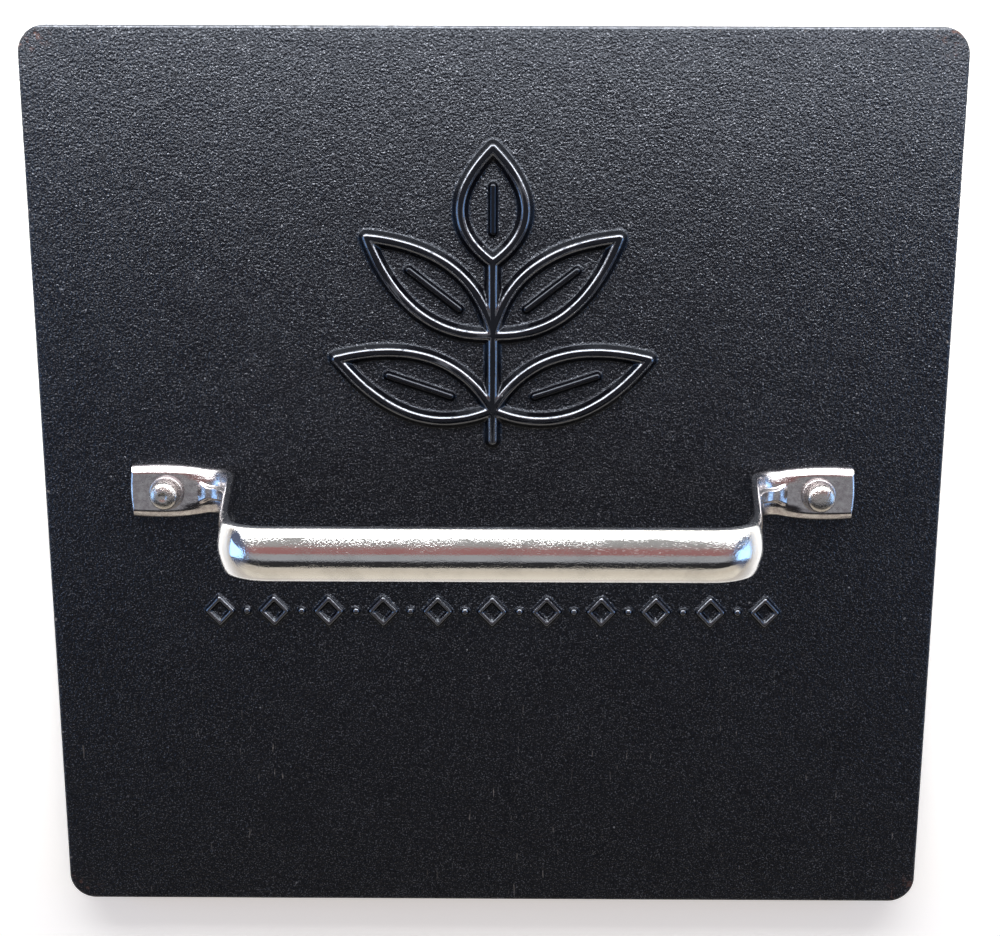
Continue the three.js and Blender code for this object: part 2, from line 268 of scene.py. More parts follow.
def band_lines():
    """The middle lines of the diamonds, and the studs between them as lines of no length."""
    half_w, half_h = DIAMOND_WIDTH / 2, DIAMOND_HEIGHT / 2
    middle_to_side = half_w * half_h / math.hypot(half_w, half_h)
    shrink = 1 - BAND_LINE["base"] / 2 / middle_to_side
    corners = np.array([[half_w, 0], [0, half_h], [-half_w, 0], [0, -half_h], [half_w, 0]]) * shrink
    first = (DIAMOND_WIDTH - BAND_LENGTH) / 2
    pitch = (BAND_LENGTH - DIAMOND_WIDTH) / (DIAMOND_COUNT - 1)
    diamonds = [corners + [first + i * pitch, BAND_Y] for i in range(DIAMOND_COUNT)]
    studs = [np.array([[first + (i - 0.5) * pitch, BAND_Y]] * 2) for i in range(1, DIAMOND_COUNT)]
    return diamonds, studs


def distance_to_lines(points, lines):
    """Each point's distance to the nearest of some polylines."""
    nearest = np.full(len(points), np.inf)
    for line in lines:
        for start, end in zip(line[:-1], line[1:]):
            along = end - start
            length = max(float(along @ along), 1e-12)
            share = np.clip((points - start) @ along / length, 0, 1)
            gap = points - start - share[:, None] * along
            nearest = np.minimum(nearest, np.hypot(gap[:, 0], gap[:, 1]))
    return nearest


def raised_height(distance, line):
    """Height at a distance from a line's middle: flat crest, rounded edge, steep side and soft
    foot."""
    slope = math.radians(LINE_SLOPE)
    turn = np.linspace(0, slope, ROUNDING_STEPS + 1)
    across, fall = np.sin(turn), 1 - np.cos(turn)
    side_fall = line["height"] - (line["edge"] + line["foot"]) * fall[-1]
    foot_in = line["base"] / 2 - line["foot"] * across[-1]
    edge_out = foot_in - side_fall / math.tan(slope)
    crest = edge_out - line["edge"] * across[-1]
    distances = np.concatenate([
        crest + line["edge"] * across,
        line["base"] / 2 - line["foot"] * across[::-1],
    ])
    heights = np.concatenate([line["height"] - line["edge"] * fall, line["foot"] * fall[::-1]])
    return np.interp(distance, distances, heights)


def ornament(x, y):
    """The ornament's height at points of the plate, and each point's distance to its foot."""
    points = np.column_stack([x, y])
    height, gap = np.zeros(len(points)), np.full(len(points), np.inf)
    outlines, veins = sprig_lines()
    diamonds, studs = band_lines()
    in_sprig = (np.abs(x) < SPRIG_REACH) & (y > STEM_FOOT_Y - SPRIG_MARGIN)
    in_sprig &= y < SPRIG_TOP_Y + SPRIG_MARGIN
    in_band = np.abs(x) < BAND_LENGTH / 2 + BAND_MARGIN
    in_band &= np.abs(y - BAND_Y) < DIAMOND_HEIGHT / 2 + BAND_MARGIN
    groups = (
        (in_sprig, outlines, SPRIG_LINE), (in_sprig, veins, VEIN_LINE),
        (in_band, diamonds, BAND_LINE), (in_band, studs, STUD_LINE),
    )
    for inside, lines, line in groups:
        distance = distance_to_lines(points[inside], lines)
        height[inside] = np.maximum(height[inside], raised_height(distance, line))
        gap[inside] = np.minimum(gap[inside], distance - line["base"] / 2)
    return height, gap


# ---------------------------------------------------------------- the plate

def spaced(*stretches):
    """Grid lines over (start, end, spacing) stretches that follow one another."""
    lines = [np.array([stretches[0][0]], float)]
    for start, end, spacing in stretches:
        count = max(1, round((end - start) / spacing))
        lines.append(np.linspace(start, end, count + 1)[1:])
    return np.concatenate(lines)


def round_corner(x, y, half, radius):
    """Points of a square moved so that its corners become quarter circles."""
    over_x, over_y = np.abs(x) - (half - radius), np.abs(y) - (half - radius)
    corner = (over_x > 0) & (over_y > 0)
    share = np.maximum(over_x, over_y) / np.maximum(np.hypot(over_x, over_y), 1e-9)
    x = np.where(corner, np.sign(x) * (half - radius + over_x * share), x)
    y = np.where(corner, np.sign(y) * (half - radius + over_y * share), y)
    return x, y


def cast_wave(x, y):
    """The slow unevenness of a sand casting, a few hundredths of a millimetre."""
    height = 0
    for frequency, heading, phase in CAST_WAVES:
        across = x * math.cos(heading) + y * math.sin(heading)
        height = height + np.sin(2 * math.pi * frequency * across + phase)
    return CAST_WAVE * height


def ridge_depth(x, y):
    """How far the cooking ridges stand down from the underside."""
    last = math.floor((PLATE_HALF - RIDGE_MARGIN) / RIDGE_PITCH)
    nearest = np.clip(np.round(x / RIDGE_PITCH), -last, last) * RIDGE_PITCH
    past_end = np.maximum(np.abs(y) - (PLATE_HALF - RIDGE_MARGIN - RIDGE_WIDTH / 2), 0)
    distance = np.hypot(x - nearest, past_end)
    share = (RIDGE_WIDTH / 2 - distance) / ((RIDGE_WIDTH - RIDGE_CREST) / 2)
    return RIDGE_HEIGHT * smooth(share)


def blocks(cells):
    """Every block of two by two cells that holds a marked one."""
    count = len(cells) // 2
    return cells.reshape(count, 2, count, 2).any(axis=(1, 3))


def widened(cells):
    """The marked cells and their eight neighbours."""
    padded, count = np.pad(cells, 1), len(cells)
    return np.any([padded[i:i + count, j:j + count] for i in range(3) for j in range(3)], axis=0)


def divided_cells(half):
    """Which cells of the top are divided in four, for each level from the coarsest. Neighbours
    differ by one level at most."""
    divided = []
    for level in reversed(range(TOP_LEVELS)):
        count = TOP_CELLS << level
        size = 2 * half / count
        middles = (np.arange(count) + 0.5) * size - half
        x, y = np.meshgrid(middles, middles)
        marked = ornament(x.ravel(), y.ravel())[1].reshape(x.shape) < size * CELL_REACH
        if level < TOP_LEVELS - 1:
            marked |= (np.abs(x) > half - PLATE_CORNER) & (np.abs(y) > half - PLATE_CORNER)
            marked |= blocks(widened(divided[0]))
        divided.insert(0, marked)
    return divided


def border_of(index):
    """The points on a grid's border, walked round once."""
    return np.concatenate([index[0, :-1], index[:-1, -1], index[-1, :0:-1], index[:0:-1, 0]])


def top_sheet():
    """The top face as a grid that is fine only under the ornament and at the corners."""
    inner = PLATE_HALF - PLATE_ROUND
    divided = divided_cells(inner)
    fine = TOP_CELLS << TOP_LEVELS
    faces = []
    for level in range(TOP_LEVELS + 1):
        count, step = TOP_CELLS << level, 1 << (TOP_LEVELS - level)
        kept = np.ones((count, count), bool)
        if level:
            kept &= divided[level - 1].repeat(2, 0).repeat(2, 1)
        finer = np.zeros((count + 2, count + 2), bool)
        if level < TOP_LEVELS:
            kept &= ~divided[level]
            finer = np.pad(divided[level], 1)
        rows, columns = np.nonzero(kept)
        corner = rows * step * (fine + 1) + columns * step
        right, up, middle = step, step * (fine + 1), step // 2
        below, above = finer[rows, columns + 1], finer[rows + 2, columns + 1]
        before, after = finer[rows + 1, columns], finer[rows + 1, columns + 2]
        plain = ~(below | above | before | after)
        square = corner[plain]
        faces += np.stack([square, square + right, square + right + up, square + up], -1).tolist()
        half_up = middle * (fine + 1)
        around = (side[~plain] for side in (below, after, above, before))
        for at, *sides in zip(corner[~plain], *around):
            ring = [at, at + middle, at + right, at + right + half_up,
                    at + right + up, at + up + middle, at + up, at + half_up]
            ring = [point for i, point in enumerate(ring) if i % 2 == 0 or sides[i // 2]]
            centre = at + middle + half_up
            faces += [(centre, ring[i - 1], ring[i]) for i in range(len(ring))]
    used = np.unique(np.concatenate([np.ravel(face) for face in faces]))
    renumbered = np.full((fine + 1) ** 2, -1)
    renumbered[used] = np.arange(len(used))
    faces = [[int(renumbered[point]) for point in face] for face in faces]
    lines = np.linspace(-inner, inner, fine + 1)
    x, y = lines[used % (fine + 1)], lines[used // (fine + 1)]
    x, y = round_corner(x, y, inner, PLATE_CORNER - PLATE_ROUND)
    border = border_of(renumbered.reshape(fine + 1, fine + 1))
    return x, y, faces, border[border >= 0]


def bottom_sheet():
    """The underside as a plain grid, fine across the ridges and at their ends."""
    inner = PLATE_HALF - PLATE_ROUND
    ridge_end = inner - UNDERSIDE_END
    xs = spaced((-inner, inner, UNDERSIDE_CELL))
    ys = spaced(
        (-inner, -ridge_end, UNDERSIDE_CELL),
        (-ridge_end, ridge_end, UNDERSIDE_LONG_CELL),
        (ridge_end, inner, UNDERSIDE_CELL),
    )
    grid_x, grid_y = np.meshgrid(xs, ys)
    x, y = round_corner(grid_x.ravel(), grid_y.ravel(), inner, PLATE_CORNER - PLATE_ROUND)
    index = np.arange(len(xs) * len(ys)).reshape(len(ys), len(xs))
    faces = np.stack([index[:-1, :-1], index[1:, :-1], index[1:, 1:], index[:-1, 1:]], -1)
    return x, y, faces.reshape(-1, 4).tolist(), border_of(index)


def outward(points):
    """Unit plan directions out of the rounded square at points on its inner boundary."""
    flat = PLATE_HALF - PLATE_CORNER
    gap = points - np.clip(points, -flat, flat)
    return gap / np.maximum(np.hypot(gap[:, 0], gap[:, 1]), 1e-9)[:, None]


def edge_rings(loop_points, level, down):
    """Rings that round the plate's edge over from a face to its upright side."""
    inner_plan, relief = loop_points[:, :2], loop_points[:, 2] - level
    rings = []
    for step in range(1, EDGE_STEPS + 1):
        angle = math.pi / 2 * step / EDGE_STEPS
        plan = inner_plan + outward(inner_plan) * PLATE_ROUND * math.sin(angle)
        height = level - down * PLATE_ROUND * (1 - math.cos(angle)) + relief * math.cos(angle)
        rings.append(np.column_stack([plan, height]))
    return rings


def stitch(lower, upper, lower_points, upper_points):
    """Faces between two closed loops with different numbers of points, walked round by angle."""
    def turns(loop, points):
        plan = points[loop]
        return np.unwrap(np.arctan2(plan[:, 1], plan[:, 0]))
    low_turn, up_turn = turns(lower, lower_points), turns(upper, upper_points)
    faces, i, j = [], 0, 0
    while i < len(lower) or j < len(upper):
        next_low = low_turn[i + 1] if i + 1 < len(lower) else low_turn[0] + 2 * math.pi
        next_up = up_turn[j + 1] if j + 1 < len(upper) else up_turn[0] + 2 * math.pi
        low_here, up_here = lower[i % len(lower)], upper[j % len(upper)]
        if j >= len(upper) or (i < len(lower) and next_low <= next_up):
            faces.append((low_here, lower[(i + 1) % len(lower)], up_here))
            i += 1
        else:
            faces.append((low_here, upper[(j + 1) % len(upper)], up_here))
            j += 1
    return faces


def press_plate(material):
    """The casting: its two faces, their rounded edges, and the upright side between them."""
    points, faces, loops = [], [], []
    count = 0
    for sheet, level, down in ((top_sheet, PLATE_TOP, 1), (bottom_sheet, RIDGE_HEIGHT, -1)):
        x, y, sheet_faces, loop = sheet()
        if down > 0:
            z = level + ornament(x, y)[0] + cast_wave(x, y)
        else:
            z = level - ridge_depth(x, y)
        sheet_points = np.column_stack([x, y, z])
        points.append(sheet_points)
        faces += [[point + count for point in face] for face in sheet_faces]
        ring = loop + count
        count += len(sheet_points)
        for ring_points in edge_rings(sheet_points[loop], level, down):
            points.append(ring_points)
            next_ring = np.arange(count, count + len(ring_points))
            count += len(ring_points)
            quad = np.stack([ring, np.roll(ring, -1), np.roll(next_ring, -1), next_ring], -1)
            faces += (quad[:, ::-1] if down > 0 else quad).tolist()
            ring = next_ring
        loops.append(ring)
    points = np.concatenate(points)
    faces += stitch(loops[1], loops[0], points, points)
    return make_object("press_plate_casting", points, faces, material)


# ---------------------------------------------------------------- the handle

# How the sheet turns down across its width, as (share of the way from the middle to the long
# edge, slope in degrees), with the half width and the depth that it turns down to.
SLOPES = {
    "foot": ((0, 0), (0.6, 0), (0.68, 40), (0.86, 42), (0.93, 84), (1, 88)),
    "pinch": ((0, 0), (0.34, 4), (0.5, 34), (0.86, 42), (0.93, 80), (1, 86)),
    "arm": ((0, 0), (0.5, 3), (0.78, 12), (0.88, 60), (0.94, 84), (1, 88)),
    "grip": ((0, 0), (0.17, 17), (0.33, 25), (0.6, 33), (0.74, 40), (0.86, 84), (1, 90)),
}


def slope_table(name):
    """A section's slopes, in radians, at even steps from its middle to the long edge."""
    shares, degrees = zip(*SLOPES[name])
    share = (np.arange(SECTION_STEPS) + 0.5) / SECTION_STEPS
    return np.radians(np.interp(share, shares, degrees))


def section(slopes, half_width, depth):
    """Half of the sheet's section, as points and normals of its middle line, from the middle of
    the outer face to the long edge. Distances are (y, drop)."""
    y = np.concatenate([[0], np.cumsum(np.cos(slopes))])
    drop = np.concatenate([[0], np.cumsum(np.sin(slopes))])
    y *= (half_width - SHEET / 2) / y[-1]
    drop *= (depth - SHEET) / drop[-1]
    tangent = np.column_stack([np.gradient(y), np.gradient(drop)])
    tangent[0] = (1, 0)
    tangent /= np.hypot(tangent[:, 0], tangent[:, 1])[:, None]
    normal = np.column_stack([tangent[:, 1], -tangent[:, 0]])
    return np.column_stack([y, drop + SHEET / 2]), normal


def ring_points(station):
    """One closed ring of the sheet: outer face, long edge, inner face and the other edge."""
    middle, normal = section(station["slopes"], station["half_width"], station["depth"])
    rib = station["rib"] * smooth((station["rib_width"] - middle[:, 0]) / RIB_FLANK)
    outer = middle + normal * SHEET / 2
    inner = middle - normal * SHEET / 2
    outer[:, 1] -= rib
    inner[:, 1] -= rib
    heading = math.atan2(normal[-1, 1], normal[-1, 0])
    lip = []
    for step in range(1, LIP_STEPS):
        angle = heading + math.pi * step / LIP_STEPS
        lip.append(middle[-1] + SHEET / 2 * np.array([math.cos(angle), math.sin(angle)]))
    outer[:, 1] = np.maximum(outer[:, 1], station["rolled"])
    if station["closed"]:
        inner[:, 1] = station["depth"] - END_HOLLOW
    half = np.concatenate([outer, lip, inner[::-1]])
    other = half[::-1] * [-1, 1]
    ring = np.concatenate([half, other[1:-1]])
    across = ring[:, 0]
    x = station["x"] + station["bow"] * (1 - (across / station["half_width"]) ** 2)
    lean, side = station["lean"], station["side"]
    return np.column_stack([
        side * (x - ring[:, 1] * math.sin(lean)),
        across,
        station["z"] - ring[:, 1] * math.cos(lean),
    ])


def foot_half_width(x, bend_x):
    """Widest near the rivet, a little less at the free end, narrowed to the arm at the bend."""
    far = x > FOOT_WIDEST_X
    reach = FOOT_END_X - FOOT_WIDEST_X if far else FOOT_WIDEST_X - bend_x
    loss = FOOT_END_LOSS if far else FOOT_HALF_WIDTH - ARM_HALF_WIDTH
    return FOOT_HALF_WIDTH - loss * ((x - FOOT_WIDEST_X) / reach) ** 2


def right_half_stations():
    """Stations along the sheet's outer face, from the right foot's free end to the middle of the
    grip."""
    foot_corner = np.array([FOOT_CORNER_X, FOOT_TOP])
    grip_corner = np.array([GRIP_CORNER_X, GRIP_TOP])
    arm = (grip_corner - foot_corner) / np.hypot(*(grip_corner - foot_corner))
    turn = math.acos(-arm[0])
    foot_run = FOOT_BEND_RADIUS * math.tan(turn / 2)
    grip_run = GRIP_BEND_RADIUS * math.tan(turn / 2)
    foot_bend_x = FOOT_CORNER_X + foot_run
    grip_bend_x = GRIP_CORNER_X - grip_run
    tables = {name: slope_table(name) for name in SLOPES}
    stations = []

    def add(x, z, lean, half_width, depth, slopes, rolled=-1.0, bow=0.0, closed=False):
        stations.append({
            "x": x, "z": z, "lean": lean, "half_width": half_width, "depth": depth,
            "slopes": slopes, "rolled": rolled, "bow": bow, "closed": closed,
            "rib": 0.0, "rib_width": RIB_HALF_WIDTH,
        })

    def mix(first, second, share):
        return first * (1 - share) + second * share

    # The foot, with its free end turned down into an end wall.
    for step in range(ROLL_STEPS):
        angle = math.pi / 2 * (1 - step / ROLL_STEPS)
        x = FOOT_END_X - FOOT_ROLL * (1 - math.sin(angle))
        rolled = FOOT_ROLL * (1 - math.cos(angle))
        add(x, FOOT_TOP, 0, foot_half_width(x, foot_bend_x), FOOT_HEIGHT, tables["foot"],
            rolled, FOOT_END_BOW, True)
    for x in np.linspace(FOOT_END_X - FOOT_ROLL, foot_bend_x, FOOT_STEPS, endpoint=False):
        inward = (FOOT_END_X - x) / (FOOT_END_X - foot_bend_x)
        bow = FOOT_END_BOW * smooth(1 - inward * FOOT_END_FADE)
        pinch = smooth((PINCH_START_X - x) / (PINCH_START_X - foot_bend_x))
        add(x, FOOT_TOP, 0, foot_half_width(x, foot_bend_x), FOOT_HEIGHT,
            mix(tables["foot"], tables["pinch"], pinch), bow=bow,
            closed=x > FOOT_END_X - FOOT_END_WALL)
    for step in range(BEND_STEPS + 1):
        share = step / BEND_STEPS
        lean = turn * share
        x = foot_bend_x - FOOT_BEND_RADIUS * math.sin(lean)
        z = FOOT_TOP + FOOT_BEND_RADIUS * (1 - math.cos(lean))
        blend = float(smooth(share))
        add(x, z, lean, ARM_HALF_WIDTH, mix(FOOT_HEIGHT, ARM_DEPTH, blend),
            mix(tables["pinch"], tables["arm"], blend))
    arm_start = foot_corner + arm * foot_run
    arm_end = grip_corner - arm * grip_run
    for step in range(1, ARM_STEPS):
        share = step / ARM_STEPS
        x, z = mix(arm_start, arm_end, share)
        blend = ARM_TOP_BLEND * share ** ARM_BLEND_POWER
        half_width = mix(ARM_HALF_WIDTH, GRIP_HALF_WIDTH, share)
        add(x, z, turn, half_width, mix(ARM_DEPTH, GRIP_DEPTH, blend),
            mix(tables["arm"], tables["grip"], blend))
    for step in range(BEND_STEPS + 1):
        lean = turn * (1 - step / BEND_STEPS)
        x = grip_bend_x + GRIP_BEND_RADIUS * math.sin(lean)
        z = GRIP_TOP - GRIP_BEND_RADIUS * (1 - math.cos(lean))
        blend = mix(ARM_TOP_BLEND, 1, float(smooth(step / BEND_STEPS)))
        add(x, z, lean, GRIP_HALF_WIDTH, mix(ARM_DEPTH, GRIP_DEPTH, blend),
            mix(tables["arm"], tables["grip"], blend))
    for x in np.linspace(grip_bend_x, 0, GRIP_STEPS)[1:]:
        add(x, GRIP_TOP, 0, GRIP_HALF_WIDTH, GRIP_DEPTH, tables["grip"])

    press_gusset(stations)
    return stations


def press_gusset(stations):
    """Raise the gusset rib across the foot bend, flared where it dies into the foot."""
    travelled = 0.0
    runs = []
    for here, after in zip(stations, stations[1:]):
        runs.append(travelled)
        travelled += math.hypot(after["x"] - here["x"], after["z"] - here["z"])
    middle = runs[next(i for i, s in enumerate(stations) if s["lean"] > RIB_MIDDLE_LEAN)]
    for run, station in zip(runs, stations):
        share = abs(run - middle) / RIB_REACH
        if share < 1:
            station["rib"] = RIB_HEIGHT * math.cos(math.pi / 2 * share) ** RIB_FALL
            flare = (share - RIB_FLARE_START) / (1 - RIB_FLARE_START)
            flare = smooth(flare) if run < middle else 0
            station["rib_width"] = RIB_HALF_WIDTH + RIB_FLARE * float(flare)


def tube_faces(rings, per_ring):
    """Faces of a tube through rings of points that follow one another."""
    index = np.arange(rings * per_ring).reshape(rings, per_ring)
    after = np.roll(index, -1, axis=1)
    return np.stack([index[:-1], after[:-1], after[1:], index[1:]], -1).reshape(-1, 4)


def handle(material):
    """The bow: the right half's stations, their mirror image, and a face across each end."""
    half = right_half_stations()
    stations = [dict(s, side=1) for s in half] + [dict(s, side=-1) for s in half[-2::-1]]
    rings = [ring_points(station) for station in stations]
    per_ring = len(rings[0])
    faces = tube_faces(len(rings), per_ring).tolist()
    last = (len(rings) - 1) * per_ring
    faces.append(list(range(per_ring))[::-1])
    faces.append([last + i for i in range(per_ring)])
    return make_object("bow_handle", np.concatenate(rings), faces, material)


# ---------------------------------------------------------------- rivets and washers

def turned(name, profile, x, material):
    """An upright round piece at x from its (radius, height) profile. A radius of 0 is the axis."""
    steps = TURNED_STEPS
    points, faces, rings = [], [], []
    for radius, height in profile:
        start = len(points)
        if radius < 1e-6:
            points.append((x, 0, height))
            rings.append([start] * steps)
            continue
        angles = np.arange(steps) * 2 * math.pi / steps
        points += [(x + radius * math.cos(a), radius * math.sin(a), height) for a in angles]
        rings.append(list(range(start, start + steps)))
    for lower, upper in zip(rings, rings[1:]):
        for i in range(steps):
            j = (i + 1) % steps
            corners = [lower[i], lower[j], upper[j], upper[i]]
            face = [c for k, c in enumerate(corners) if c != corners[k - 1]]
            if len(face) > 2:
                faces.append(face)
    if profile[0] == profile[-1]:
        first, final = rings[0], rings[-1]
        swap = dict(zip(final, first))
        faces = [[swap.get(c, c) for c in face] for face in faces]
        points = points[:final[0]]
    return make_object(name, points, faces, material)


def arc(centre, radius, start, end, steps):
    """Profile points on an arc, in degrees from +radius towards +height."""
    angles = np.radians(np.linspace(start, end, steps + 1))
    return [(centre[0] + radius * math.cos(a), centre[1] + radius * math.sin(a)) for a in angles]


def rivet_profile(peened):
    """Tail head, shank and round head. A peened head keeps the small ring of its last blow."""
    head_top = float(RIVET_HIGH[2])
    tail_low = RIDGE_HEIGHT - TAIL_HEIGHT
    tail = float(RIVET_HIGH[0] - RIVET_LOW[0]) / 2
    profile = [(0, tail_low)]
    profile += arc((tail - TAIL_ROUND, tail_low + TAIL_ROUND), TAIL_ROUND, -90, 0, 4)
    profile += [(tail, RIDGE_HEIGHT), (SHANK_RADIUS, RIDGE_HEIGHT), (SHANK_RADIUS, WASHER_TOP)]
    foot = (HEAD_RADIUS - HEAD_FOOT_ROUND, WASHER_TOP + HEAD_FOOT_ROUND)
    profile += arc(foot, HEAD_FOOT_ROUND, -90, 0, 3)
    shoulder = head_top - HEAD_DOME
    profile += [(HEAD_RADIUS, WASHER_TOP + HEAD_NECK), (HEAD_RADIUS, shoulder - HEAD_SHOULDER)]
    for share in np.linspace(0, 1, DOME_STEPS + 1)[1:-1]:
        angle = share * math.pi / 2
        radius = HEAD_RADIUS * math.cos(angle) ** DOME_POWER
        profile.append((radius, shoulder + HEAD_DOME * math.sin(angle)))
    if peened:
        ring_top = head_top - PEEN_RING[0][1]
        profile = [p for p in profile if p[1] < ring_top or p[0] > PEEN_EDGE]
        profile += [(radius, head_top - depth) for radius, depth in PEEN_RING]
    else:
        profile.append((0, head_top))
    return profile


def washer_profile():
    """The collar under a rivet head, round its hole and back to where it starts."""
    hole = SHANK_RADIUS + HOLE_CLEARANCE
    outer = float(WASHER_HIGH[0] - WASHER_LOW[0]) / 2
    foot = (outer - WASHER_FOOT_ROUND, FOOT_TOP + WASHER_FOOT_ROUND)
    crown = (outer - WASHER_TOP_ROUND, WASHER_TOP - WASHER_TOP_ROUND)
    profile = [(hole, FOOT_TOP)]
    profile += arc(foot, WASHER_FOOT_ROUND, -90, 0, 3)
    profile += arc(crown, WASHER_TOP_ROUND, 0, 90, 6)
    profile += [(hole, WASHER_TOP), (hole, FOOT_TOP)]
    return profile


# ---------------------------------------------------------------- materials

class Nodes:
    """Short calls for one material's or world's node tree. Numbers and sockets mix freely."""

    def __init__(self, owner):
        owner.use_nodes = True
        self.tree = owner.node_tree
        self.tree.nodes.clear()

    def node(self, kind, **settings):
        made = self.tree.nodes.new(kind)
        for name, value in settings.items():
            setattr(made, name, value)
        return made

    def feed(self, socket, value):
        if isinstance(value, bpy.types.NodeSocket):
            self.tree.links.new(value, socket)
        else:
            socket.default_value = value

    def math(self, operation, first, second=0.0, third=0.0, clamp=False):
        made = self.node("ShaderNodeMath", operation=operation, use_clamp=clamp)
        for socket, value in zip(made.inputs, (first, second, third)):
            self.feed(socket, value)
        return made.outputs[0]

    def product(self, *factors):
        result = factors[0]
        for factor in factors[1:]:
            result = self.math("MULTIPLY", result, factor)
        return result

    def total(self, *terms):
        result = terms[0]
        for term in terms[1:]:
            result = self.math("ADD", result, term)
        return result

    def largest(self, *values):
        result = values[0]
        for value in values[1:]:
            result = self.math("MAXIMUM", result, value)
        return result

    def ramp(self, value, low, high, to_low=0.0, to_high=1.0):
        """Value from low..high to to_low..to_high, smoothly and clamped."""
        made = self.node("ShaderNodeMapRange", interpolation_type="SMOOTHSTEP")
        for socket, number in zip(made.inputs, (value, low, high, to_low, to_high)):
            self.feed(socket, number)
        return made.outputs[0]

    def mix(self, share, first, second):
        """A colour between two."""
        made = self.node("ShaderNodeMix", data_type="RGBA")
        self.feed(made.inputs["Factor"], share)
        self.feed(made.inputs[6], first)
        self.feed(made.inputs[7], second)
        return made.outputs[2]

    def place(self, scale=(1, 1, 1), turn=0.0):
        """The object's own coordinates in millimetres, stretched by scale."""
        coordinates = self.node("ShaderNodeTexCoord")
        mapping = self.node("ShaderNodeMapping")
        self.feed(mapping.inputs["Vector"], coordinates.outputs["Object"])
        mapping.inputs["Rotation"].default_value = (0, 0, turn)
        mapping.inputs["Scale"].default_value = [s / MM for s in scale]
        return mapping.outputs["Vector"]

    def noise(self, grain, detail=2.0, roughness=0.5, place=None):
        """Noise whose grains are about this many millimetres across."""
        made = self.node("ShaderNodeTexNoise")
        self.feed(made.inputs["Vector"], place or self.place())
        made.inputs["Scale"].default_value = 1 / grain
        made.inputs["Detail"].default_value = detail
        made.inputs["Roughness"].default_value = roughness
        return made.outputs[0]

    def cells(self, size):
        """Voronoi cells of about this many millimetres: the distance from a cell's middle, and a
        colour of its own for each cell."""
        made = self.node("ShaderNodeTexVoronoi")
        self.feed(made.inputs["Vector"], self.place())
        made.inputs["Scale"].default_value = 1 / size
        return made.outputs["Distance"], made.outputs["Color"]

    def axes(self, vector):
        """A vector's X, Y and Z."""
        split = self.node("ShaderNodeSeparateXYZ")
        self.feed(split.inputs[0], vector)
        return split.outputs

    def bump(self, height):
        """The normal of a surface with this relief in millimetres."""
        made = self.node("ShaderNodeBump")
        made.inputs["Strength"].default_value = 1.0
        made.inputs["Distance"].default_value = MM
        self.feed(made.inputs["Height"], height)
        return made.outputs[0]

    def finish(self, **inputs):
        """The Principled shader with these inputs, as the material's surface."""
        shader = self.node("ShaderNodeBsdfPrincipled")
        for name, value in inputs.items():
            self.feed(shader.inputs[name.replace("_", " ")], value)
        output = self.node("ShaderNodeOutputMaterial")
        self.feed(output.inputs["Surface"], shader.outputs[0])


# The enamel and what shows where it has worn away.
ENAMEL_DEEP = (0.0005, 0.0005, 0.0012, 1)
ENAMEL_FADED = (0.0014, 0.0014, 0.0022, 1)
DRAG_COLOUR = (0.26, 0.23, 0.20, 1)
DUST_COLOUR = (0.36, 0.36, 0.37, 1)
RUST_COLOUR = (0.13, 0.055, 0.035, 1)
CHIP_COLOUR = (0.16, 0.14, 0.125, 1)
BARE_IRON = (0.145, 0.15, 0.165, 1)
PEBBLE_HEIGHT = 0.135
SWELL_HEIGHT = 0.10
WEAR_DEPTH = 0.04
TIP_WEAR = 0.8


